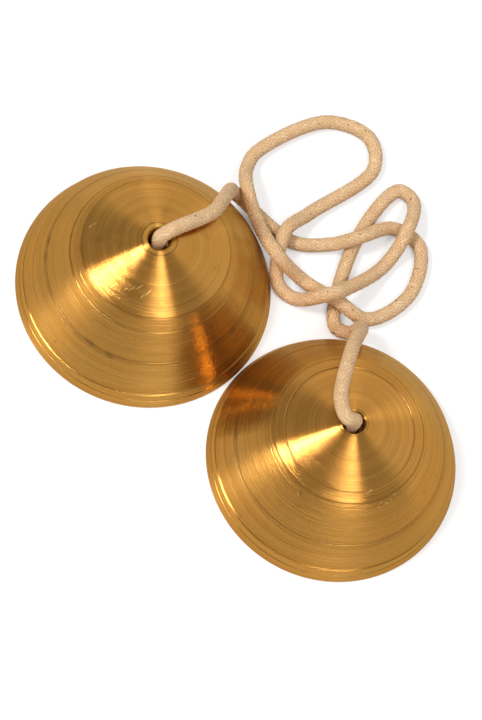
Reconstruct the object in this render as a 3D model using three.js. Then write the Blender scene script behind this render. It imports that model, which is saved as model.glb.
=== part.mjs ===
// A pair of manjira: two small hand cymbals of cast and turned brass, held together by one
// soft cotton cord. The cord comes up through the bore of each cymbal and is stopped inside
// by an overhand knot. The pair lies mouth down, rims side by side, with the slack cord in a
// loose tangle behind them.
// Frame: millimetres, +Z up, the rims rest on Z = 0, +X runs from the left cymbal to the right.

import * as THREE from 'three';
import { mergeVertices } from 'three/addons/utils/BufferGeometryUtils.js';

// Sizes of each cymbal
const leftRimRadius = 30.75;
const rightRimRadius = 30;
const leftHeight = 29.4;
const rightHeight = 27.2;
// flat machined ring round the top of the bore
const leftLandRadius = 3.9;
const rightLandRadius = 3.1;
// fine rings cut into the cone, one inside the other
const leftRingRadii = [17.4, 19.7];
const rightRingRadii = [15.1, 17.6];

// Sizes that the two cymbals share
const boreRadius = 2.65;
const boreChamfer = 0.3;
const wall = 2.5;
const crownWall = 4.3;
const coneAngle = THREE.MathUtils.degToRad(22.5);
const coneRadius = 17;
const shoulderFullness = 0.6;
const lipAngle = THREE.MathUtils.degToRad(61);
const lipInset = 1.6;
const lipHeight = 5.2;
const edgeInset = 0.85;
const edgeHeight = 2.4;
const rimFaceWidth = 3.2;
const rimBevel = 0.3;
const ringWidth = 0.5;
const ringDepth = 0.18;
const lipGrooveWidth = 0.8;
const lipGrooveDepth = 0.35;
const edgeGrooveWidth = 0.5;
const edgeGrooveDepth = 0.2;
const rimGap = 0.3;

// Sizes of the cord
const cordDiameter = 3.2;
const knotCordDiameter = 2.8;
const seatGap = 0.3;
const neckRise = 0.4;
const knotLoopRadius = 3.5;
const knotDip = 2.7;
const knotLeadHeight = 4.4;
const knotLeadBow = 0.2;
// where the lead's slight bow is set, as shares of its height
const knotLeadStations = [0.4, 0.65];
const tailLength = 9.5;
// the slack cord leaves each neck straight up for this far
const straightRise = 0.55;

// Facets
const turnedSides = 48;
const shoulderSteps = 12;
const cordSides = 8;
const cordSteps = 80;
const knotSteps = 60;

// How the printed gaps are measured: samples on a curve, and how many cord diameters along the
// cord two samples must lie apart to count as different strands
const gapSamples = 600;
const strandSpacing = 2.4;

// Where the two bores stand, so that the pair is centred on the origin
const pairLength = 2 * leftRimRadius + rimGap + 2 * rightRimRadius;
const leftX = -pairLength / 2 + leftRimRadius;
const rightX = pairLength / 2 - rightRimRadius;

// Route of the slack cord, from the left bore to the right one, read along its centre line.
// It leans down the left dome, folds over the rim to the table, crosses itself in two loops
// and a narrow bight, hooks round and climbs the right dome. Where strands cross, the upper
// one rides a cord's thickness above the lower.
const cordRoute = [
  // down the left dome and over its rim
  [-29.3, 2.4, 31.9],
  [-26.6, 14.6, 27.2],
  [-27.4, 19.3, 24.6],
  [-30.2, 28.2, 13.0],
  [-30.6, 31.3, 6.2],
  [-28.9, 33.0, 2.5],
  // out along the table and round the right-hand loop
  [-12.6, 33.8, 2.0],
  [-5.4, 40.2, 2.2],
  [-1.6, 44.4, 5.7],
  [2.7, 54.7, 1.9],
  [10.3, 55.7, 1.7],
  [16.8, 44.6, 1.8],
  [13.9, 32.1, 2.2],
  [5.7, 28.7, 5.7],
  [-3.3, 28.1, 2.5],
  // back past the left rim, over two strands
  [-11.8, 25.8, 8.8],
  [-21.4, 30.2, 5.3],
  [-28.5, 33.5, 8.2],
  [-33.5, 40.4, 2.8],
  // the large outer loop
  [-34.6, 45.6, 2.0],
  [-28.0, 64.2, 1.7],
  [-17.9, 68.7, 1.7],
  [-11.4, 63.1, 1.7],
  [-14.5, 42.5, 2.4],
  [-14.8, 32.6, 6.0],
  // round again beside the left rim and across the top of the pile
  [-7.8, 23.2, 2.2],
  [-2.2, 23.3, 2.0],
  [4.2, 27.4, 9.8],
  [5.9, 32.8, 7.4],
  [7.4, 46.0, 1.8],
  [5.9, 54.7, 5.7],
  // the narrow bight and its return under the pile
  [1.1, 63.7, 1.9],
  [-3.2, 63.3, 1.7],
  [-1.8, 45.5, 1.8],
  // the hook, then up over the right rim to the crown
  [9.2, 25.2, 1.7],
  [12.8, 26.0, 2.2],
  [14.7, 26.5, 8.4],
  [18.6, 14.2, 23.3],
  [25.0, 1.8, 28.2],
  [29.3, -1.5, 30.3],
];

// Finishes
const brass = {
  left: new THREE.MeshStandardMaterial({ color: 0xb08040, roughness: 0.32, metalness: 1 }),
  right: new THREE.MeshStandardMaterial({ color: 0xb5843f, roughness: 0.3, metalness: 1 }),
};
const cotton = new THREE.MeshStandardMaterial({ color: 0xdcb482, roughness: 0.95, metalness: 0 });

// One surface of the dome, from the bore outwards and down to the lip: a straight cone, then
// a shoulder that turns it into the steep flank. `inset` moves it inwards from the outer skin.
function domeCurve(size, inset) {
  const fall = Math.tan(coneAngle);
  const coneTop = size.height + size.landRadius * fall - inset / Math.cos(coneAngle);
  const coneZ = (radius) => coneTop - radius * fall;
  const shoulderRadius = coneRadius - inset * Math.sin(coneAngle);
  const shoulder = new THREE.Vector2(shoulderRadius, coneZ(shoulderRadius));
  const lip = new THREE.Vector2(
    size.rimRadius - lipInset - inset * Math.sin(lipAngle),
    lipHeight - inset * Math.cos(lipAngle),
  );
  // corner where the cone and the flank's own slope would meet if nothing rounded it
  const lean = 1 / Math.tan(lipAngle);
  const cornerZ = (coneTop - (lip.x + lip.y * lean) * fall) / (1 - fall * lean);
  const corner = new THREE.Vector2(lip.x - (cornerZ - lip.y) * lean, cornerZ);
  const curve = new THREE.CubicBezierCurve(
    shoulder,
    shoulder.clone().lerp(corner, shoulderFullness),
    lip.clone().lerp(corner, shoulderFullness),
    lip,
  );
  return { coneTop, fall, points: curve.getPoints(shoulderSteps) };
}

// Cuts a fine V groove into a profile that runs outwards, centred on the given radius.
function cutRing(profile, radius) {
  const heightAt = (r) => {
    const next = profile.findIndex((point) => point.x > r);
    const a = profile[next - 1];
    const b = profile[next];
    return THREE.MathUtils.mapLinear(r, a.x, b.x, a.y, b.y);
  };
  const inner = radius - ringWidth / 2;
  const outer = radius + ringWidth / 2;
  const groove = [
    new THREE.Vector2(inner, heightAt(inner)),
    new THREE.Vector2(radius, heightAt(radius) - ringDepth),
    new THREE.Vector2(outer, heightAt(outer)),
  ];
  const before = profile.filter((point) => point.x < inner);
  const after = profile.filter((point) => point.x > outer);
  return [...before, ...groove, ...after];
}

// A closed half section turned about the vertical axis.
function turn(profile) {
  const geometry = new THREE.LatheGeometry([...profile, profile[0]], turnedSides);
  geometry.rotateX(Math.PI / 2);
  return weld(geometry);
}

function weld(geometry) {
  geometry.deleteAttribute('normal');
  geometry.deleteAttribute('uv');
  const welded = mergeVertices(geometry, 1e-4);
  welded.computeVertexNormals();
  return welded;
}

// The cymbal: dome with ringed cone, steep flank, a lip with a groove above it and a finer one
// round it, flat rim face, and a thick crown whose flat underside is the knot's seat.
function cymbalGeometry(size) {
  const outer = domeCurve(size, 0);
  const inner = domeCurve(size, wall);
  const seatZ = size.height - crownWall;
  const seatRadius = (inner.coneTop - seatZ) / inner.fall;
  const lipRadius = size.rimRadius - lipInset;
  const edgeRadius = size.rimRadius - edgeInset;

  let skin = [
    new THREE.Vector2(boreRadius, size.height - boreChamfer),
    new THREE.Vector2(boreRadius + boreChamfer, size.height),
    new THREE.Vector2(size.landRadius, size.height),
    ...outer.points,
  ];
  for (const radius of size.ringRadii) {
    skin = cutRing(skin, radius);
  }
  const lip = [
    new THREE.Vector2(lipRadius - lipGrooveDepth, lipHeight - lipGrooveWidth / 2),
    new THREE.Vector2(lipRadius + lipGrooveDepth / 2, lipHeight - lipGrooveWidth),
    new THREE.Vector2(edgeRadius, edgeHeight + edgeGrooveWidth / 2),
    new THREE.Vector2(edgeRadius - edgeGrooveDepth, edgeHeight),
    new THREE.Vector2(edgeRadius + edgeGrooveDepth / 2, edgeHeight - edgeGrooveWidth / 2),
    new THREE.Vector2(size.rimRadius, rimBevel),
    new THREE.Vector2(size.rimRadius - rimBevel, 0),
  ];
  const hollow = [
    new THREE.Vector2(size.rimRadius - rimFaceWidth, 0),
    ...inner.points.reverse(),
    new THREE.Vector2(seatRadius, seatZ),
    new THREE.Vector2(boreRadius + boreChamfer, seatZ),
    new THREE.Vector2(boreRadius, seatZ + boreChamfer),
  ];
  return turn([...skin, ...lip, ...hollow].reverse());
}

// A curve through chosen points whose rings follow the points, so tight bends get more of them.
class ThroughPoints extends THREE.CatmullRomCurve3 {
  getUtoTmapping(u) {
    return u;
  }
}

// A round cord of the given diameter swept along a curve.
function sweep(curve, diameter, steps) {
  const section = new THREE.Shape();
  for (let i = 0; i < cordSides; i += 1) {
    const angle = (i / cordSides) * 2 * Math.PI;
    const x = (diameter / 2) * Math.cos(angle);
    const y = (diameter / 2) * Math.sin(angle);
    if (i === 0) section.moveTo(x, y);
    else section.lineTo(x, y);
  }
  section.closePath();
  const settings = { steps, extrudePath: curve, bevelEnabled: false };
  return weld(new THREE.ExtrudeGeometry(section, settings));
}

// The overhand knot. Each half is one loop of cord that dips under its twin, and the second
// half is the first turned half a turn about the Y axis. The lead into the neck stands on the
// bore's axis and the tail hangs one cord's width beside it.
const knotStartAngle = THREE.MathUtils.degToRad(60);
const knotSweepAngle = THREE.MathUtils.degToRad(290);
const knotLoopPoints = 9;
const knotLoopOffset = knotLoopRadius * Math.cos(knotStartAngle);

function knotCurve() {
  const half = [];
  for (let i = 0; i < knotLoopPoints; i += 1) {
    const share = i / (knotLoopPoints - 1);
    const angle = knotStartAngle + knotSweepAngle * share;
    half.push(new THREE.Vector3(
      -knotLoopOffset + knotLoopRadius * Math.cos(angle),
      knotLoopRadius * Math.sin(angle),
      -knotDip * Math.sin(Math.PI * share * share),
    ));
  }
  // the strand turns upwards out of its loop and straightens along the lead
  const leadX = knotLoopOffset;
  const [lowStation, highStation] = knotLeadStations;
  half.push(new THREE.Vector3(leadX, -knotLeadBow, knotLeadHeight * lowStation));
  half.push(new THREE.Vector3(leadX, knotLeadBow / 2, knotLeadHeight * highStation));
  half.push(new THREE.Vector3(leadX, knotLeadBow / 2, knotLeadHeight));
  const twin = half.slice(1).map((point) => new THREE.Vector3(-point.x, point.y, -point.z));
  const tailEnd = twin[twin.length - 1].clone();
  tailEnd.z -= tailLength - knotLeadHeight;
  const points = [...half.reverse(), ...twin, tailEnd];
  const lead = points[0].clone();
  return new ThroughPoints(points.map((point) => point.sub(new THREE.Vector3(lead.x, lead.y, 0))));
}

// Least gap between two stretches of a swept cord, leaving out what is close along the cord.
function leastSelfGap(curve, diameter) {
  const points = curve.getPoints(gapSamples);
  const along = [0];
  for (let i = 1; i < points.length; i += 1) {
    along.push(along[i - 1] + points[i].distanceTo(points[i - 1]));
  }
  const neighbourhood = strandSpacing * diameter;
  let least = Infinity;
  for (let i = 0; i < points.length; i += 1) {
    for (let j = i + 1; j < points.length; j += 1) {
      if (along[j] - along[i] < neighbourhood) continue;
      least = Math.min(least, points[i].distanceTo(points[j]));
    }
  }
  return least - diameter;
}

const pair = new THREE.Group();

function addPiece(parent, name, geometry, material) {
  const mesh = new THREE.Mesh(geometry, material);
  mesh.name = name;
  parent.add(mesh);
  return mesh;
}

const knot = knotCurve();
const knotTop = knotDip + knotCordDiameter / 2;
const cordEnds = {};

const sides = [
  {
    name: 'left',
    x: leftX,
    knotTurn: 0,
    rimRadius: leftRimRadius,
    height: leftHeight,
    landRadius: leftLandRadius,
    ringRadii: leftRingRadii,
  },
  {
    name: 'right',
    x: rightX,
    knotTurn: THREE.MathUtils.degToRad(130),
    rimRadius: rightRimRadius,
    height: rightHeight,
    landRadius: rightLandRadius,
    ringRadii: rightRingRadii,
  },
];

for (const side of sides) {
  const station = new THREE.Group();
  station.position.x = side.x;
  pair.add(station);
  addPiece(station, `${side.name}_cymbal`, cymbalGeometry(side), brass[side.name]);

  // the knot hangs just under its seat, with its lead inside the bore
  const knotZ = side.height - crownWall - seatGap - knotTop;
  const knotMesh = addPiece(
    station,
    `${side.name}_knot`,
    sweep(knot, knotCordDiameter, knotSteps),
    cotton,
  );
  knotMesh.position.z = knotZ;
  knotMesh.rotation.z = side.knotTurn;

  // the neck runs straight up the bore from the knot's lead to just above the crown
  const neckBottom = knotZ + knotLeadHeight + seatGap;
  const neckTop = side.height + neckRise;
  const neckPath = new THREE.LineCurve3(
    new THREE.Vector3(0, 0, neckBottom),
    new THREE.Vector3(0, 0, neckTop),
  );
  addPiece(station, `${side.name}_neck`, sweep(neckPath, cordDiameter, 1), cotton);
  cordEnds[side.name] = new THREE.Vector3(side.x, 0, neckTop + seatGap);
}

// The slack cord starts straight up out of one neck and ends straight down into the other.
const rise = new THREE.Vector3(0, 0, straightRise);
const routePoints = [
  cordEnds.left,
  cordEnds.left.clone().add(rise),
  ...cordRoute.map((point) => new THREE.Vector3(...point)),
  cordEnds.right.clone().add(rise),
  cordEnds.right,
];
const route = new ThroughPoints(routePoints);
addPiece(pair, 'cord', sweep(route, cordDiameter, cordSteps), cotton);

const report = (text, value) => console.log(`${text}: ${value.toFixed(2)} mm`);
report('slack cord length', route.getLength());
report('cord in each knot and tail', knot.getLength());
report('least gap of the slack cord to itself', leastSelfGap(route, cordDiameter));
report('least gap of each knot to itself', leastSelfGap(knot, knotCordDiameter));

export default pair;
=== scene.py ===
# A pair of manjira: two turned brass hand cymbals on one braided cotton cord, mouth down on a
# pale floor. Units are metres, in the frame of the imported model: +Z up, the rims on Z = 0.

import math

import bpy
import numpy as np
from mathutils import Matrix, Vector


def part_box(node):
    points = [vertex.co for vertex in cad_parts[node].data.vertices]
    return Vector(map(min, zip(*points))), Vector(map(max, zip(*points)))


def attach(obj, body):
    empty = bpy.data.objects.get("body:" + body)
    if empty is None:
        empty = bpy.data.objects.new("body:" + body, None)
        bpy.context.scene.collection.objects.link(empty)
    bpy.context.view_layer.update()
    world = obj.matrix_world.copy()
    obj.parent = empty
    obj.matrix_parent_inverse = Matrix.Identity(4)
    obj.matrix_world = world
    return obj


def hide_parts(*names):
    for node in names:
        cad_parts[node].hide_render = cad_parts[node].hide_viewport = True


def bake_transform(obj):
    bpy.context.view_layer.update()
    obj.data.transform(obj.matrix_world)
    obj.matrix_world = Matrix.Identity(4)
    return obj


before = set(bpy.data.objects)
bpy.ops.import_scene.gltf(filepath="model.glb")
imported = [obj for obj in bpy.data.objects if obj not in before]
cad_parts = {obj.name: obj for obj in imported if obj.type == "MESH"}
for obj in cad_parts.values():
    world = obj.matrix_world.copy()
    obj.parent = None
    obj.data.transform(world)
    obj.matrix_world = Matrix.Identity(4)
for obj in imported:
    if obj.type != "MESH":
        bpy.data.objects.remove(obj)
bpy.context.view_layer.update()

scene = bpy.context.scene
MM = 0.001


# Camera, at the photograph's viewing angle
view_azimuth = math.radians(19.37)
view_elevation = math.radians(67.74)
view_roll = math.radians(24.59)
view_distance = 0.6189
view_target = Vector((-0.00106, 0.00304, 0))
view_lens_mm = 130
view_sensor_mm = 36
view_clip_start = 0.01


def make_camera():
    level = math.cos(view_elevation)
    back = Vector((
        math.sin(view_azimuth) * level,
        -math.cos(view_azimuth) * level,
        math.sin(view_elevation),
    ))
    side = Vector((math.cos(view_azimuth), math.sin(view_azimuth), 0))
    rise = back.cross(side)
    right = math.cos(view_roll) * side + math.sin(view_roll) * rise
    up = back.cross(right)
    camera = bpy.data.objects.new("camera", bpy.data.cameras.new("camera"))
    camera.data.lens = view_lens_mm
    camera.data.sensor_width = view_sensor_mm
    camera.data.clip_start = view_clip_start
    place = Matrix((right, up, back)).transposed().to_4x4()
    place.translation = view_target + back * view_distance
    camera.matrix_world = place
    scene.collection.objects.link(camera)
    scene.camera = camera


make_camera()


# Route of the slack cord's centre line, from the left bore to the right one
cord_route = [
    # down the left dome and over its rim
    (-0.0293, 0.0024, 0.0319),
    (-0.0266, 0.0146, 0.0272),
    (-0.0274, 0.0193, 0.0246),
    (-0.0302, 0.0282, 0.0130),
    (-0.0306, 0.0313, 0.0062),
    (-0.0289, 0.0330, 0.0025),
    # out along the table and round the right-hand loop
    (-0.0126, 0.0338, 0.0020),
    (-0.0054, 0.0402, 0.0022),
    (-0.0016, 0.0444, 0.0057),
    (0.0027, 0.0547, 0.0019),
    (0.0103, 0.0557, 0.0017),
    (0.0168, 0.0446, 0.0018),
    (0.0139, 0.0321, 0.0022),
    (0.0057, 0.0287, 0.0057),
    (-0.0033, 0.0281, 0.0025),
    # back past the left rim, over two strands
    (-0.0118, 0.0258, 0.0088),
    (-0.0214, 0.0302, 0.0053),
    (-0.0285, 0.0335, 0.0082),
    (-0.0335, 0.0404, 0.0028),
    # the large outer loop
    (-0.0346, 0.0456, 0.0020),
    (-0.0280, 0.0642, 0.0017),
    (-0.0179, 0.0687, 0.0017),
    (-0.0114, 0.0631, 0.0017),
    (-0.0145, 0.0425, 0.0024),
    (-0.0148, 0.0326, 0.0060),
    # round again beside the left rim and across the top of the pile
    (-0.0078, 0.0232, 0.0022),
    (-0.0022, 0.0233, 0.0020),
    (0.0042, 0.0274, 0.0098),
    (0.0059, 0.0328, 0.0074),
    (0.0074, 0.0460, 0.0018),
    (0.0059, 0.0547, 0.0057),
    # the narrow bight and its return under the pile
    (0.0011, 0.0637, 0.0019),
    (-0.0032, 0.0633, 0.0017),
    (-0.0018, 0.0455, 0.0018),
    # the hook, then up over the right rim to the crown
    (0.0092, 0.0252, 0.0017),
    (0.0128, 0.0260, 0.0022),
    (0.0147, 0.0265, 0.0084),
    (0.0186, 0.0142, 0.0233),
    (0.0250, 0.0018, 0.0282),
    (0.0293, -0.0015, 0.0303),
]

# Sizes of the cord and its knots
cord_diameter = 3.2 * MM
knot_cord_diameter = 2.8 * MM
seat_gap = 0.3 * MM
neck_rise = 0.4 * MM
straight_rise = 0.55 * MM
knot_loop_radius = 3.5 * MM
knot_dip = 2.7 * MM
knot_lead_height = 4.4 * MM
knot_lead_bow = 0.2 * MM
knot_lead_stations = (0.4, 0.65)
knot_start_angle = math.radians(60)
knot_sweep_angle = math.radians(290)
knot_loop_points = 9
tail_length = 9.5 * MM

# Sizes of the cymbals
crown_wall = 4.3 * MM
wall = 2.5 * MM
bore_radius = 2.65 * MM
bore_chamfer = 0.3 * MM
cone_angle = math.radians(22.5)
cone_radius = 17.0 * MM
shoulder_fullness = 0.6
lip_angle = math.radians(61)
lip_inset = 1.6 * MM
lip_height = 5.2 * MM
edge_inset = 0.85 * MM
edge_height = 2.4 * MM
rim_face_width = 3.2 * MM
rim_bevel = 0.3 * MM
lip_groove_width = 0.8 * MM
lip_groove_depth = 0.35 * MM
edge_groove_width = 0.5 * MM
edge_groove_depth = 0.2 * MM
bevel_round = 0.3
# each groove's points: outwards as a share of its depth, and down as a share of its width
lip_groove_shape = [(-0.6, 0.25), (-1, 0.5), (-0.4, 0.8), (0.5, 1)]
edge_groove_shape = [(0, -0.5), (-1, 0), (0.5, 0.5)]


def side_facts(node):
    """Where a cymbal stands and how large it is, read from its solid."""
    low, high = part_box(node)
    return {
        "axis": Vector(((low.x + high.x) / 2, (low.y + high.y) / 2, 0)),
        "rim_radius": (high.x - low.x) / 2,
        "height": high.z,
    }


left = side_facts("left_cymbal")
right = side_facts("right_cymbal")
# the flat round the bore, how far the knot is turned, and a shift that makes the turned lines differ
left.update(land_radius=3.9 * MM, knot_turn=0, line_shift=0.0)
right.update(land_radius=3.1 * MM, knot_turn=math.radians(130), line_shift=40.0)
# radius, width and depth of each ring cut into the dome, in millimetres
left["rings"] = [
    (4.15, 0.35, 0.1), (7.4, 0.25, 0.03), (11.8, 0.3, 0.03), (17.4, 0.45, 0.14), (18.5, 0.25, 0.05),
    (19.7, 0.5, 0.16), (24.4, 0.45, 0.07), (24.9, 0.3, 0.05), (27.2, 0.3, 0.04),
]
right["rings"] = [
    (3.35, 0.35, 0.1), (6.2, 0.25, 0.03), (15.1, 0.45, 0.13), (15.8, 0.25, 0.05), (17.6, 0.5, 0.15),
    (18.5, 0.25, 0.05), (24.5, 0.45, 0.07), (25.0, 0.3, 0.05), (26.6, 0.3, 0.04),
]
# radius and half width in millimetres of each ring that has darkened, and how strongly
left["bands"] = [(4.1, 0.3, 0.7), (17.4, 0.3, 0.38), (19.7, 0.35, 0.42), (24.6, 0.6, 0.5)]
right["bands"] = [(3.3, 0.3, 0.6), (15.1, 0.3, 0.38), (17.6, 0.35, 0.42), (24.7, 0.6, 0.45)]
# azimuth in degrees, radius, half length and half width in millimetres, and the turn away from
# the radius in degrees
# bright scratches: the scratches are real, their brightness is a painted glint
left["bright_marks"] = [
    (-57, 12.2, 1.1, 0.12, -35), (-62, 13.2, 0.7, 0.10, -30), (-68, 11.6, 1.0, 0.12, -40),
    (-75, 12.6, 0.9, 0.10, -32), (-80, 13.4, 0.6, 0.10, -38), (-153, 16.0, 0.6, 0.12, 60),
    (-156, 15.2, 0.4, 0.12, 40),
]
left["dark_marks"] = [
    (5, 24.6, 1.0, 0.5, 90), (-70, 24.6, 1.3, 0.4, 90), (-82, 24.4, 1.7, 0.35, 90),
    (-139, 24.6, 1.5, 0.4, 88), (-149, 24.5, 1.2, 0.45, 92), (-97.5, 28.0, 0.4, 0.3, 0),
    (-3, 21.5, 1.6, 0.10, 25), (-9, 23.0, 1.3, 0.09, 35), (14, 22.4, 1.0, 0.10, 60),
    (118, 14.0, 1.2, 0.12, 60), (-128, 9.0, 0.7, 0.12, 70),
]
# bright scratches here too: real scratches with a painted glint
right["bright_marks"] = [
    (-12, 17.9, 0.35, 0.13, 50), (-16, 18.4, 0.3, 0.12, 90), (-20, 18.6, 0.4, 0.15, 60),
    (-24, 18.1, 0.3, 0.12, 120), (-26, 18.8, 0.25, 0.1, 30), (-30, 15.1, 0.6, 0.12, 100),
    (-33, 15.4, 0.4, 0.1, 70), (-85, 19.2, 0.3, 0.1, 70),
]
right["dark_marks"] = [
    (24, 23.6, 1.9, 0.13, 25), (29, 25.6, 1.4, 0.11, 20), (9.5, 22.2, 0.35, 0.3, 0),
    (4, 24.0, 0.4, 0.3, 0), (-52, 24.6, 0.9, 0.09, -50), (-57, 24.0, 1.0, 0.08, 20),
    (-140, 24.6, 1.4, 0.4, 90), (60, 20.4, 1.0, 0.12, 70), (-72, 10.0, 0.8, 0.12, 60),
    (-84, 18.6, 0.5, 0.3, 40),
]


def through_points(points, samples):
    """A centripetal curve through the points, as a dense polyline."""
    points = np.array(points, float)
    first = 2 * points[0] - points[1]
    last = 2 * points[-1] - points[-2]
    padded = np.vstack([first, points, last])
    out = []
    for i in range(len(points) - 1):
        p0, p1, p2, p3 = padded[i:i + 4]
        d0, d1, d2 = (math.sqrt(np.linalg.norm(q - p)) for p, q in ((p0, p1), (p1, p2), (p2, p3)))
        m1 = ((p1 - p0) / d0 - (p2 - p0) / (d0 + d1) + (p2 - p1) / d1) * d1
        m2 = ((p2 - p1) / d1 - (p3 - p1) / (d1 + d2) + (p3 - p2) / d2) * d1
        t = np.linspace(0, 1, samples, endpoint=False)[:, None]
        out.append(
            (2 * p1 - 2 * p2 + m1 + m2) * t ** 3
            + (-3 * p1 + 3 * p2 - 2 * m1 - m2) * t ** 2
            + m1 * t + p1
        )
    return np.vstack(out + [points[-1:]])


def evenly(line, step):
    """The polyline again, with its points evenly spaced."""
    along = np.concatenate([[0], np.cumsum(np.linalg.norm(np.diff(line, axis=0), axis=1))])
    count = int(round(along[-1] / step))
    at = np.linspace(0, along[-1], count + 1)
    return np.column_stack([np.interp(at, along, line[:, k]) for k in range(3)])


def knot_points(side):
    """The stopper knot's points from its lead, inside the bore, to its tail's end."""
    offset = knot_loop_radius * math.cos(knot_start_angle)
    half = []
    for i in range(knot_loop_points):
        share = i / (knot_loop_points - 1)
        angle = knot_start_angle + knot_sweep_angle * share
        half.append((
            knot_loop_radius * math.cos(angle) - offset,
            knot_loop_radius * math.sin(angle),
            -knot_dip * math.sin(math.pi * share * share),
        ))
    low_station, high_station = knot_lead_stations
    half.append((offset, -knot_lead_bow, knot_lead_height * low_station))
    half.append((offset, knot_lead_bow / 2, knot_lead_height * high_station))
    half.append((offset, knot_lead_bow / 2, knot_lead_height))
    twin = [(-x, y, -z) for x, y, z in half[1:]]
    end = (twin[-1][0], twin[-1][1], twin[-1][2] - tail_length + knot_lead_height)
    points = np.array(half[::-1] + twin + [end])
    points -= (half[-1][0], half[-1][1], 0)
    c, s = math.cos(side["knot_turn"]), math.sin(side["knot_turn"])
    turned = points @ np.array([[c, s, 0], [-s, c, 0], [0, 0, 1]])
    knot_top = knot_dip + knot_cord_diameter / 2
    lift = side["height"] - crown_wall - seat_gap - knot_top
    return turned + np.array([side["axis"].x, side["axis"].y, lift])


def cord_mouth(side):
    """Where the slack cord starts, just above the crown."""
    return np.array([side["axis"].x, side["axis"].y, side["height"] + neck_rise + seat_gap])


# The cord's braid: ten yarns wind each way round it, each over two and under two. The yarns'
# crowns stand a little out of the cord's nominal size.
yarns = 10
weave_over = 2
weave_repeat = 4
yarn_pitch = 1.25 * MM
yarn_base = 0.55
yarn_swell = 0.45
braid_relief = 0.19 * MM
crown_stand = 0.14 * MM
tone_count = 64
tone_seed = 11
yarn_tones = np.random.default_rng(tone_seed).uniform(0, 1, (2, tone_count))
fibre_spread = 37

# The cord's mesh: rings along its line, the first one's side, and how far a bend presses it
ring_step = 0.18 * MM
ring_sides = 50
curve_samples = 60
first_side = (0.3, 0.9, 0.1)
bend_window = 5
straightest_bend = 1e-6
tightest_share = 0.75
press_start = 0.7
press_room = 0.3


def braid(around, along):
    """Height from 0 to 1 on the braid, the yarn's own tone, and place across and along it."""
    a = yarns * around + along / yarn_pitch
    b = yarns * around - along / yarn_pitch
    i, j = np.floor(a), np.floor(b)
    over = np.mod(i - j, weave_repeat) < weave_over
    across = np.where(over, a - i, b - j)
    passed = np.where(over, b - i + (weave_over - 1), a - j - weave_over)
    run = np.mod(passed, weave_repeat) / weave_over
    crown = np.sqrt(np.clip(1 - (2 * across - 1) ** 2, 0, 1))
    height = crown * (yarn_base + yarn_swell * np.sin(math.pi * np.clip(run, 0, 1)))
    # each stretch that shows has its own tone, picked by its yarn's number and its own
    stretch = np.floor(passed / weave_repeat)
    pick = np.where(over, i * 5 + stretch * 3, j * 7 + stretch * 11).astype(int) % tone_count
    tone = yarn_tones[np.where(over, 0, 1), pick]
    return height, tone, across, run


def carried_frames(line):
    """Two directions across the line at each point, carried along it without twist."""
    along = np.gradient(line, axis=0)
    along /= np.linalg.norm(along, axis=1)[:, None]
    first = np.cross(along[0], first_side)
    normals = [first / np.linalg.norm(first)]
    for tangent in along[1:]:
        n = normals[-1] - tangent * (normals[-1] @ tangent)
        normals.append(n / np.linalg.norm(n))
    normals = np.array(normals)
    return normals, np.cross(along, normals)


def whole_cord():
    """Centre line of the one cord from tail to tail, through both knots, in even steps."""
    left_knot = through_points(knot_points(left)[::-1], curve_samples)
    right_knot = through_points(knot_points(right), curve_samples)
    start, end = cord_mouth(left), cord_mouth(right)
    rise = np.array([0, 0, straight_rise])
    slack = through_points([start, start + rise, *cord_route, end + rise, end], curve_samples)
    return evenly(np.vstack([left_knot, slack, right_knot]), ring_step)


def smooth_step(x):
    """From 0 to 1 as x does, level at both ends."""
    x = np.clip(x, 0, 1)
    return x * x * (3 - 2 * x)


def nearest_ring(line, point, after=0):
    """The ring of the cord that is nearest to a point, from a given ring on."""
    return after + int(np.argmin(np.linalg.norm(line[after:] - point, axis=1)))


def make_mesh(name, points, faces, material, attributes=None):
    """A smooth object, with what its material reads at each point."""
    mesh = bpy.data.meshes.new(name)
    mesh.from_pydata(points.tolist(), [], faces)
    mesh.materials.append(material)
    mesh.shade_smooth()
    for key, values in (attributes or {}).items():
        vector = values.ndim == 2
        kind = "FLOAT_VECTOR" if vector else "FLOAT"
        layer = mesh.attributes.new(key, kind, "POINT")
        layer.data.foreach_set("vector" if vector else "value", values.astype(np.float32).ravel())
    mesh.update()
    piece = bpy.data.objects.new(name, mesh)
    scene.collection.objects.link(piece)
    return piece


def cord_surface(line, radius):
    """Every ring's points on the braided surface, with the braid's values at each."""
    u, v = carried_frames(line)
    along = np.arange(len(line)) * ring_step
    turns = np.arange(ring_sides) / ring_sides
    around = np.broadcast_to(turns, (len(line), ring_sides))
    height, tone, across, run = braid(around, along[:, None])
    reach = radius[:, None] + crown_stand - braid_relief * (1 - height)
    angle = 2 * math.pi * around
    offset = (
        u[:, None, :] * (reach * np.cos(angle))[..., None]
        + v[:, None, :] * (reach * np.sin(angle))[..., None]
    )
    # inside a tight bend the cord is pressed flat, so that its rings don't cross
    bend = np.gradient(np.gradient(line, ring_step, axis=0), ring_step, axis=0)
    window = np.ones(bend_window) / bend_window
    bend = np.column_stack([np.convolve(bend[:, k], window, "same") for k in range(3)])
    tight = np.maximum(np.linalg.norm(bend, axis=1), straightest_bend)[:, None]
    inward = bend / tight
    towards = np.einsum("rsk,rk->rs", offset, inward)
    limit = tightest_share / tight
    squeezed = limit * (press_start + press_room * np.tanh((towards / limit - press_start) / press_room))
    pressed = np.where(towards > limit * press_start, squeezed, towards)
    offset += inward[:, None, :] * (pressed - towards)[..., None]
    return line[:, None, :] + offset, height, tone, across, run


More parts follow.
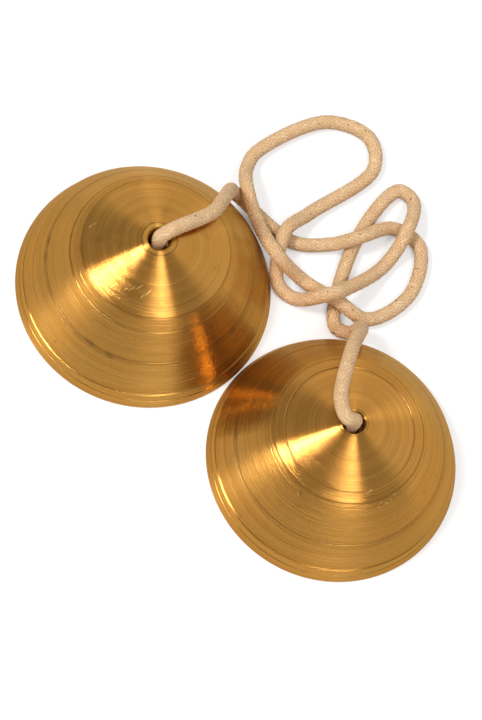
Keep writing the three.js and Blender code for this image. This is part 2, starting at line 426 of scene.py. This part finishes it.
def tube_piece(name, surface, first, last, material):
    """The stretch of the cord from one ring to another, closed at both ends."""
    points, height, tone, across, run = (part[first:last + 1] for part in surface)
    rings = last - first + 1
    index = np.arange(rings * ring_sides).reshape(rings, ring_sides)
    after = np.roll(index, -1, axis=1)
    quads = np.stack([index[:-1], after[:-1], after[1:], index[1:]], axis=-1).reshape(-1, 4)
    faces = quads.tolist() + [index[0][::-1].tolist(), index[-1].tolist()]
    attributes = {
        "crest": height.ravel(),
        "tone": tone.ravel(),
        "yarn": np.stack([across, run, tone * fibre_spread], axis=-1).reshape(-1, 3),
    }
    return make_mesh(name, points.reshape(-1, 3), faces, material, attributes)


# Shader helpers
def node(tree, kind, inputs=None, **settings):
    """Adds a node. Inputs are given by name or number, as a value or another node's output."""
    made = tree.nodes.new(kind)
    for key, value in settings.items():
        setattr(made, key, value)
    for key, value in (inputs or {}).items():
        if isinstance(value, bpy.types.NodeSocket):
            tree.links.new(value, made.inputs[key])
        else:
            made.inputs[key].default_value = value
    return made


def maths(tree, operation, *values, clamp=False):
    inputs = dict(enumerate(values))
    return node(tree, "ShaderNodeMath", inputs, operation=operation, use_clamp=clamp).outputs[0]


def highest(tree, shares):
    """The highest of the shares at each place."""
    top = shares[0]
    for share in shares[1:]:
        top = maths(tree, "MAXIMUM", top, share)
    return top


def mix(tree, share, first, second):
    """The first colour, with a share of the second. A mix node's colours are its inputs 6 and 7."""
    inputs = {0: share, 6: first, 7: second}
    return node(tree, "ShaderNodeMix", inputs, data_type="RGBA").outputs[2]


def noise(tree, vector, scale, detail, roughness=0.5):
    inputs = {"Vector": vector, "Scale": scale, "Detail": detail, "Roughness": roughness}
    return node(tree, "ShaderNodeTexNoise", inputs).outputs[0]


def ramp(tree, value, stops):
    """A share from 0 to 1 that follows the stops, each a place and a value."""
    made = node(tree, "ShaderNodeValToRGB", {0: value})
    band = made.color_ramp
    while len(band.elements) < len(stops):
        band.elements.new(0.5)
    for element, (place, level) in zip(band.elements, stops):
        element.position = place
        element.color = (level, level, level, 1)
    return made.outputs[0]


def layered(tree, base, layers):
    """The base colour under its layers, each a pattern, the stops of its ramp and a colour."""
    for pattern, stops, tint in layers:
        base = mix(tree, ramp(tree, pattern, stops), base, tint)
    return base


def empty_tree(owner):
    """The node tree of a new material or world, with nothing in it."""
    owner.use_nodes = True
    owner.node_tree.nodes.clear()
    return owner.node_tree


def principled_material(name, values):
    """A material with one Principled shader, the values set on the shader's own sockets."""
    material = bpy.data.materials.new(name)
    tree = empty_tree(material)
    shader = node(tree, "ShaderNodeBsdfPrincipled", values)
    node(tree, "ShaderNodeOutputMaterial", {0: shader.outputs[0]})
    return material, tree, shader


def colour(red, green, blue):
    """An sRGB colour, 0 to 255, as the linear one that shaders take."""
    def linear(c):
        c /= 255
        return c / 12.92 if c <= 0.04045 else ((c + 0.055) / 1.055) ** 2.4
    return (linear(red), linear(green), linear(blue), 1)


# The cotton's colours, the scales of its patterns and the depth of its fibres
dull_yarn = colour(226, 186, 140)
pale_yarn = colour(244, 212, 170)
patch_colour = colour(222, 190, 146)
fibre_colour = colour(196, 152, 106)
# painted shade for the dips between the yarns
gap_shade_colour = colour(160, 118, 84)
fleck_colour = colour(112, 72, 44)
fibre_scale = (7, 1.2, 1)
patch_scale = 260
fleck_scale = 1000
fibre_relief = 0.06 * MM


def cotton_material():
    """Braided cotton: yarns of uneven tone with fibres and specks, and painted shade where they dip."""
    material, tree, shader = principled_material("cotton", {
        "Roughness": 0.9,
        "Specular IOR Level": 0.2,
        "Sheen Weight": 0.04,
        "Sheen Roughness": 0.5,
    })
    crest = node(tree, "ShaderNodeAttribute", attribute_name="crest").outputs["Fac"]
    tone = node(tree, "ShaderNodeAttribute", attribute_name="tone").outputs["Fac"]
    yarn = node(tree, "ShaderNodeAttribute", attribute_name="yarn").outputs["Vector"]
    place = node(tree, "ShaderNodeTexCoord").outputs["Object"]
    strands = node(tree, "ShaderNodeMapping", {"Vector": yarn, "Scale": fibre_scale}).outputs[0]
    fibre = noise(tree, strands, 1.0, detail=3, roughness=0.6)
    patch = noise(tree, place, patch_scale, detail=2)
    fleck = noise(tree, place, fleck_scale, detail=1)
    body = layered(tree, mix(tree, tone, dull_yarn, pale_yarn), [
        (patch, [(0.35, 0), (0.7, 0.5)], patch_colour),
        (fibre, [(0.35, 0.5), (0.62, 0)], fibre_colour),
        # painted shade: darker where the braid dips between yarns
        (crest, [(0.1, 0.9), (0.62, 0)], gap_shade_colour),
        (fleck, [(0.72, 0), (0.76, 0.75)], fleck_colour),
    ])
    tree.links.new(body, shader.inputs["Base Color"])
    relief = node(tree, "ShaderNodeBump", {"Height": fibre, "Strength": 0.6, "Distance": fibre_relief})
    tree.links.new(relief.outputs[0], shader.inputs["Normal"])
    return material


# The brass's colours, the spacing of its turned lines and the scales of its stains
wide_colour = colour(164, 110, 34)
line_colour = colour(148, 98, 30)
blotch_colour = colour(134, 88, 28)
patina_colour = colour(92, 56, 16)
land_colour = colour(210, 158, 70)
dark_mark_colour = colour(80, 48, 16)
# painted glint of the bright scratches
scratch_glint_colour = colour(255, 222, 150)
fine_spacing = 0.2 * MM
coarse_spacing = 0.5 * MM
wide_spacing = 3.5 * MM
stain_scale = 55
blotch_scale = 150
grain_scale = 700

# How ragged the edges of its marks are, how these fade, and how strongly each kind shows
ragged_edge = 0.5 * MM
ragged_slant = -0.7
mark_level = 1.9
mark_fade = 1.6
land_share = 0.6
dark_mark_share = 0.35
scratch_glint_share = 0.7

# Its relief, and its roughness where the coarse lines are lowest and highest
turned_relief = 0.11 * MM
fine_relief_share = 0.3
low_rough = 0.22
high_rough = 0.28


def brass_material(name, side, warm, cool):
    """Turned brass: fine concentric lines, darkened rings, stains, nicks and scratches, some scratches
    with a painted glint.
    """
    material, tree, shader = principled_material(name, {
        "Metallic": 0.92,
        "IOR": 4.0,
        # brass stays yellow where it is seen edge on
        "Specular Tint": (0.72, 0.66, 0.48, 1),
        # glints are drawn out across the turned lines
        "Anisotropic": 1.0,
        "Anisotropic Rotation": 0.25,
    })
    place = node(tree, "ShaderNodeTexCoord").outputs["Object"]
    x, y, z = node(tree, "ShaderNodeSeparateXYZ", {0: place}).outputs
    flat = node(tree, "ShaderNodeCombineXYZ", {0: x, 1: y}).outputs[0]
    radius = node(tree, "ShaderNodeVectorMath", {0: flat}, operation="LENGTH").outputs["Value"]
    # distance down the skin, from the crown outwards
    down = maths(tree, "SUBTRACT", radius, z)

    def lines(spacing, drift, detail):
        """Noise drawn out round the axis, its lines the given spacing apart. Drift breaks them up."""
        across = maths(tree, "MULTIPLY_ADD", down, 1 / spacing, side["line_shift"])
        bits = {0: across, 1: maths(tree, "MULTIPLY", x, drift), 2: maths(tree, "MULTIPLY", y, drift)}
        vector = node(tree, "ShaderNodeCombineXYZ", bits).outputs[0]
        return noise(tree, vector, 1.0, detail, roughness=0.6)

    fine = lines(fine_spacing, drift=25, detail=2)
    coarse = lines(coarse_spacing, drift=14, detail=3)
    wide = lines(wide_spacing, drift=12, detail=1)
    stain = noise(tree, place, stain_scale, detail=3, roughness=0.55)
    blotch = noise(tree, place, blotch_scale, detail=3, roughness=0.6)
    grain = noise(tree, place, grain_scale, detail=2, roughness=0.6)

    # ragged edges for the marks, the darkened rings and the flat round the bore
    ragged = maths(tree, "MULTIPLY_ADD", grain, ragged_edge, -ragged_edge / 2)
    ragged_radius = maths(tree, "ADD", radius, ragged)
    slanted = maths(tree, "MULTIPLY", ragged, ragged_slant)
    nudge = node(tree, "ShaderNodeCombineXYZ", {0: ragged, 1: slanted}).outputs[0]
    ragged_flat = node(tree, "ShaderNodeVectorMath", {0: flat, 1: nudge}).outputs[0]

    def marks(spots):
        """1 on any of the marks, 0 away from them."""
        shares = []
        for azimuth, reach, half_length, half_width, turn in spots:
            angle = math.radians(azimuth)
            centre = (reach * MM * math.cos(angle), reach * MM * math.sin(angle), 0)
            inputs = {
                "Vector": ragged_flat,
                "Location": centre,
                "Rotation": (0, 0, angle + math.radians(turn)),
                "Scale": (half_length * MM, half_width * MM, 1),
            }
            local = node(tree, "ShaderNodeMapping", inputs, vector_type="TEXTURE").outputs[0]
            far = node(tree, "ShaderNodeVectorMath", {0: local}, operation="LENGTH").outputs["Value"]
            shares.append(maths(tree, "MULTIPLY_ADD", far, -mark_fade, mark_level, clamp=True))
        return highest(tree, shares)

    def ring_shade(bands):
        """How dark the bands make each place, 0 between them."""
        shares = []
        for reach, half_width, strength in bands:
            off = maths(tree, "ABSOLUTE", maths(tree, "SUBTRACT", ragged_radius, reach * MM))
            fade = -strength / (half_width * MM)
            shares.append(maths(tree, "MULTIPLY_ADD", off, fade, strength, clamp=True))
        return highest(tree, shares)

    tone = layered(tree, mix(tree, ramp(tree, stain, [(0.35, 0), (0.65, 1)]), warm, cool), [
        (wide, [(0.4, 0.3), (0.62, 0)], wide_colour),
        (coarse, [(0.36, 0.35), (0.5, 0)], line_colour),
        (fine, [(0.34, 0.4), (0.5, 0)], line_colour),
        (blotch, [(0.6, 0), (0.74, 0.35)], blotch_colour),
    ])
    worn = ramp(tree, stain, [(0.3, 1), (0.7, 0.35)])
    on_land = maths(tree, "LESS_THAN", ragged_radius, side["land_radius"])
    for where, strength, tint in (
        (ring_shade(side["bands"]), worn, patina_colour),
        (on_land, land_share, land_colour),
        (marks(side["dark_marks"]), dark_mark_share, dark_mark_colour),
        # scratches painted with the glint they catch
        (marks(side["bright_marks"]), scratch_glint_share, scratch_glint_colour),
    ):
        tone = mix(tree, maths(tree, "MULTIPLY", where, strength), tone, tint)
    tree.links.new(tone, shader.inputs["Base Color"])

    rough = node(tree, "ShaderNodeMapRange", {
        "Value": coarse, "From Min": 0.3, "From Max": 0.7, "To Min": low_rough, "To Max": high_rough,
    })
    tree.links.new(rough.outputs[0], shader.inputs["Roughness"])
    tangent = node(tree, "ShaderNodeTangent", direction_type="RADIAL", axis="Z")
    tree.links.new(tangent.outputs[0], shader.inputs["Tangent"])

    height = maths(tree, "MULTIPLY_ADD", fine, fine_relief_share, coarse)
    relief = node(tree, "ShaderNodeBump", {"Height": height, "Strength": 1.0, "Distance": turned_relief})
    tree.links.new(relief.outputs[0], shader.inputs["Normal"])
    return material


def dome_curve(side, inset, steps):
    """One skin's rounded shoulder, from the cone to the lip, and the cone's tip and slope."""
    fall = math.tan(cone_angle)
    top = side["height"] + side["land_radius"] * fall - inset / math.cos(cone_angle)
    shoulder_radius = cone_radius - inset * math.sin(cone_angle)
    shoulder = np.array([shoulder_radius, top - shoulder_radius * fall])
    lip = np.array([
        side["rim_radius"] - lip_inset - inset * math.sin(lip_angle),
        lip_height - inset * math.cos(lip_angle),
    ])
    lean = 1 / math.tan(lip_angle)
    corner_z = (top - (lip[0] + lip[1] * lean) * fall) / (1 - fall * lean)
    corner = np.array([lip[0] - (corner_z - lip[1]) * lean, corner_z])
    a = shoulder + (corner - shoulder) * shoulder_fullness
    b = lip + (corner - lip) * shoulder_fullness
    t = np.linspace(0, 1, steps + 1)[:, None]
    curve = (1 - t) ** 3 * shoulder + 3 * (1 - t) ** 2 * t * a + 3 * (1 - t) * t ** 2 * b + t ** 3 * lip
    return curve, top, fall


def subdivided(points, step):
    """The outline again with long runs divided, so that shading and grooves stay even."""
    out = [points[0]]
    for a, b in zip(points[:-1], points[1:]):
        count = max(1, int(math.ceil(np.linalg.norm(np.subtract(b, a)) / step)))
        for k in range(1, count + 1):
            out.append(np.add(a, np.subtract(b, a) * k / count))
    return np.array(out)


def groove(radius, height, depth, width, shape):
    """A groove's part of the outline, from the points of its shape."""
    return [(radius + depth * out, height - width * down) for out, down in shape]


# How finely the cymbals are turned, the edge of the flat, and where a corner stays sharp
turned_sides = 256
skin_step = 0.12 * MM
hollow_step = 0.8 * MM
shoulder_steps = 90
land_edge = 0.12 * MM
sharp_angle = math.radians(32)


def cymbal(name, side, material):
    """One cymbal, inside and out, turned from its outline round the axis of its bore."""
    outer, top, fall = dome_curve(side, 0, shoulder_steps)
    inner, inner_top, _ = dome_curve(side, wall, shoulder_steps // 3)
    height, rim, land = side["height"], side["rim_radius"], side["land_radius"]
    seat_z = height - crown_wall
    skin = [
        (bore_radius, height - crown_wall / 2),
        (bore_radius, height - bore_chamfer),
        (bore_radius + bore_chamfer, height),
        (land - land_edge, height),
        (land + land_edge, height - land_edge * fall),
        *outer.tolist(),
    ]
    skin = subdivided(skin, skin_step)
    # the rings are fine rounded grooves, sunk square to the skin
    run = np.gradient(skin, axis=0)
    inward = np.column_stack([run[:, 1], -run[:, 0]]) / np.linalg.norm(run, axis=1)[:, None]
    along = np.concatenate([[0], np.cumsum(np.linalg.norm(np.diff(skin, axis=0), axis=1))])
    sunk = np.zeros(len(skin))
    for radius, width, depth in side["rings"]:
        at = np.interp(radius * MM, skin[:, 0], along)
        off = (along - at) / (width * MM / 2)
        sunk = np.maximum(sunk, depth * MM * np.clip(1 - off ** 2, 0, 1))
    skin = skin + inward * sunk[:, None]
    lip = subdivided([
        skin[-1],
        *groove(rim - lip_inset, lip_height, lip_groove_depth, lip_groove_width, lip_groove_shape),
        *groove(rim - edge_inset, edge_height, edge_groove_depth, edge_groove_width, edge_groove_shape),
        (rim, rim_bevel),
        (rim - rim_bevel * bevel_round, rim_bevel * bevel_round),
        (rim - rim_bevel, 0),
    ], skin_step * 2)
    hollow = subdivided([
        lip[-1],
        (rim - rim_face_width, 0),
        *inner[::-1].tolist(),
        ((inner_top - seat_z) / fall, seat_z),
        (bore_radius + bore_chamfer, seat_z),
        (bore_radius, seat_z + bore_chamfer),
        skin[0],
    ], hollow_step)
    outline = np.vstack([skin[:-1], lip[:-1], hollow[:-1]])
    angle = 2 * math.pi * np.arange(turned_sides) / turned_sides
    points = np.stack([
        outline[:, 0, None] * np.cos(angle),
        outline[:, 0, None] * np.sin(angle),
        np.broadcast_to(outline[:, 1, None], (len(outline), turned_sides)),
    ], axis=-1)
    index = np.arange(len(outline) * turned_sides).reshape(len(outline), turned_sides)
    after = np.roll(index, -1, axis=1)
    below = np.roll(index, -1, axis=0)
    corner = np.roll(after, -1, axis=0)
    faces = np.stack([index, below, corner, after], axis=-1).reshape(-1, 4).tolist()
    piece = make_mesh(name, points.reshape(-1, 3), faces, material)
    piece.data.set_sharp_from_angle(angle=sharp_angle)
    piece.location = side["axis"]
    return piece


cotton = cotton_material()
left_brass = brass_material("left_brass", left, warm=colour(198, 140, 60), cool=colour(188, 138, 62))
right_brass = brass_material("right_brass", right, warm=colour(200, 140, 60), cool=colour(190, 138, 62))

for name, side, material in (("left_dome", left, left_brass), ("right_dome", right, right_brass)):
    dome = cymbal(name, side, material)
    node_name = name.replace("dome", "cymbal")
    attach(dome, node_name)
    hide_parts(node_name)


line = whole_cord()
mouths = [cord_mouth(left), cord_mouth(right)]
# where the cord has bent over and lies along each dome
bend_ends = [np.array([-0.0288, 0.0047, 0.0320]), np.array([0.0262, 0.0006, 0.0292])]
left_mouth = nearest_ring(line, mouths[0])
left_out = nearest_ring(line, bend_ends[0], left_mouth)
right_out = nearest_ring(line, bend_ends[1], left_out)
right_mouth = nearest_ring(line, mouths[1], right_out)

# the cord is squeezed in its knots, comes to its full size in the bores, and is rounded at its ends
tail_rings = 4
tail_rounding = 0.6
ring = np.arange(len(line))
neck_rings = crown_wall / ring_step
thick = smooth_step((ring - left_mouth + neck_rings) / neck_rings)
thick *= smooth_step((right_mouth + neck_rings - ring) / neck_rings)
radius = (knot_cord_diameter + (cord_diameter - knot_cord_diameter) * thick) / 2
ends = np.clip(np.minimum(ring, ring[::-1]) / tail_rings, 0, 1)
radius = radius * np.sqrt(1 - (1 - ends) ** 2 * tail_rounding)
surface = cord_surface(line, radius)

left_stopper = tube_piece("left_stopper", surface, 0, left_mouth, cotton)
left_bend = tube_piece("left_bend", surface, left_mouth, left_out, cotton)
slack_cord = tube_piece("slack_cord", surface, left_out, right_out, cotton)
right_bend = tube_piece("right_bend", surface, right_out, right_mouth, cotton)
right_stopper = tube_piece("right_stopper", surface, right_mouth, len(line) - 1, cotton)

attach(slack_cord, "cord")
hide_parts("cord")
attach(left_stopper, "left_knot")
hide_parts("left_knot", "left_neck")
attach(right_stopper, "right_knot")
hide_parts("right_knot", "right_neck")

# each bend's transform is baked into its points
for bend, body, mouth, out in (
    (left_bend, "left_knot", left_mouth, left_out),
    (right_bend, "right_knot", right_mouth, right_out),
):
    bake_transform(bend)


# Floor, lamps and world
white = (1, 1, 1, 1)
floor_grey = (0.5, 0.5, 0.5, 1)
floor_lift = 0.55
floor_reach = 3.0
floor_drop = 0.1 * MM
floor_shade_reach = 60 * MM
floor_shade_samples = 6
world_level = 0.48
backdrop_level = 1.0
key_direction = (-0.384, -0.36, 0.85)
key_distance = 1.1
fill_direction = (0.40, -0.175, 0.90)
fill_distance = 2.8
matt_lamp_colour = (1, 0.98, 0.95)
glint_lamp_colour = (1, 1, 1)
# radius and radiance of each lamp
key_lamp = (0.11, 54)
key_glint = (0.075, 200)
fill_lamp = (0.24, 34)
fill_glint = (0.32, 46)
# the canopy starts to fade where Y is the first share of its radius and is gone at the second
canopy_radius = 2.0
canopy_reach = math.radians(116)
canopy_turns = 24
canopy_rows = 16
canopy_fade = (0.23, 0.42)
canopy_level = 0.43


def seen_directly(tree):
    """1 for rays from the camera, a reflection or glass, 0 for the rays that light things."""
    path = node(tree, "ShaderNodeLightPath").outputs
    either = maths(tree, "MAXIMUM", path["Is Camera Ray"], path["Is Glossy Ray"])
    return maths(tree, "MAXIMUM", either, path["Is Transmission Ray"])


def make_floor():
    """The floor: a plain grey, lifted to white where the camera or a reflection sees it in the open."""
    mesh = bpy.data.meshes.new("floor")
    signs = ((-1, -1), (1, -1), (1, 1), (-1, 1))
    corners = [(x * floor_reach, y * floor_reach, -floor_drop) for x, y in signs]
    mesh.from_pydata(corners, [], [(0, 1, 2, 3)])
    floor = bpy.data.objects.new("floor", mesh)
    scene.collection.objects.link(floor)
    material = bpy.data.materials.new("floor")
    tree = empty_tree(material)
    matt = node(tree, "ShaderNodeBsdfDiffuse", {"Color": floor_grey}).outputs[0]
    # the floor under a cymbal stays dark where it shows through a bore
    shade = node(
        tree, "ShaderNodeAmbientOcclusion", {"Distance": floor_shade_reach}, samples=floor_shade_samples,
    )
    open_sky = shade.outputs["AO"]
    lift = maths(tree, "MULTIPLY", ramp(tree, open_sky, [(0, 0), (0.15, 1)]), floor_lift)
    glow = node(tree, "ShaderNodeEmission", {"Color": white, "Strength": lift}).outputs[0]
    both = node(tree, "ShaderNodeAddShader", {0: matt, 1: glow}).outputs[0]
    shader = node(tree, "ShaderNodeMixShader", {0: seen_directly(tree), 1: matt, 2: both}).outputs[0]
    node(tree, "ShaderNodeOutputMaterial", {0: shader})
    mesh.materials.append(material)


def make_lamp(name, direction, distance, radius, radiance, glints):
    """A round lamp. It makes the glints, or it lights all that is matt."""
    data = bpy.data.lights.new(name, "AREA")
    data.shape = "DISK"
    data.size = 2 * radius
    data.energy = radiance * math.pi * math.pi * radius * radius
    data.color = glint_lamp_colour if glints else matt_lamp_colour
    lamp = bpy.data.objects.new(name, data)
    lamp.location = Vector(direction).normalized() * distance
    lamp.rotation_euler = Vector(direction).to_track_quat("Z", "Y").to_euler()
    lamp.visible_diffuse = not glints
    lamp.visible_glossy = glints
    scene.collection.objects.link(lamp)


def make_canopy():
    """A dim half dome from the camera's side to just past the zenith, seen only in reflections."""
    mesh = bpy.data.meshes.new("canopy")
    points = []
    for i in range(canopy_rows + 1):
        off = canopy_reach * i / canopy_rows
        for k in range(canopy_turns + 1):
            turn = math.pi * k / canopy_turns
            points.append((
                canopy_radius * math.sin(off) * math.cos(turn),
                -canopy_radius * math.cos(off),
                canopy_radius * math.sin(off) * math.sin(turn),
            ))
    faces = []
    for i in range(canopy_rows):
        for k in range(canopy_turns):
            a = i * (canopy_turns + 1) + k
            faces.append((a, a + 1, a + canopy_turns + 2, a + canopy_turns + 1))
    mesh.from_pydata(points, [], faces)
    canopy = bpy.data.objects.new("canopy", mesh)
    material = bpy.data.materials.new("canopy")
    tree = empty_tree(material)
    place = node(tree, "ShaderNodeTexCoord").outputs["Object"]
    back = node(tree, "ShaderNodeSeparateXYZ", {0: place}).outputs[1]
    full, clear = (canopy_radius * part for part in canopy_fade)
    share = node(tree, "ShaderNodeMapRange", {
        "Value": back, "From Min": full, "From Max": clear, "To Min": 1, "To Max": 0,
    }).outputs[0]
    grey = node(tree, "ShaderNodeEmission", {"Color": white, "Strength": canopy_level}).outputs[0]
    through = node(tree, "ShaderNodeBsdfTransparent").outputs[0]
    shader = node(tree, "ShaderNodeMixShader", {0: share, 1: through, 2: grey}).outputs[0]
    node(tree, "ShaderNodeOutputMaterial", {0: shader})
    mesh.materials.append(material)
    scene.collection.objects.link(canopy)
    canopy.visible_camera = False
    canopy.visible_diffuse = False
    canopy.visible_shadow = False
    canopy.visible_transmission = False


def make_world():
    world = bpy.data.worlds.new("studio")
    tree = empty_tree(world)
    light = node(tree, "ShaderNodeBackground", {"Color": white, "Strength": world_level}).outputs[0]
    backdrop = node(tree, "ShaderNodeBackground", {"Color": white, "Strength": backdrop_level}).outputs[0]
    shader = node(tree, "ShaderNodeMixShader", {0: seen_directly(tree), 1: light, 2: backdrop}).outputs[0]
    node(tree, "ShaderNodeOutputWorld", {0: shader})
    scene.world = world


make_floor()
make_world()
make_lamp("key_lamp", key_direction, key_distance, *key_lamp, glints=False)
make_lamp("key_glint", key_direction, key_distance, *key_glint, glints=True)
make_lamp("fill_lamp", fill_direction, fill_distance, *fill_lamp, glints=False)
make_lamp("fill_glint", fill_direction, fill_distance, *fill_glint, glints=True)
make_canopy()

scene.view_settings.view_transform = "Standard"
bpy.context.view_layer.update()
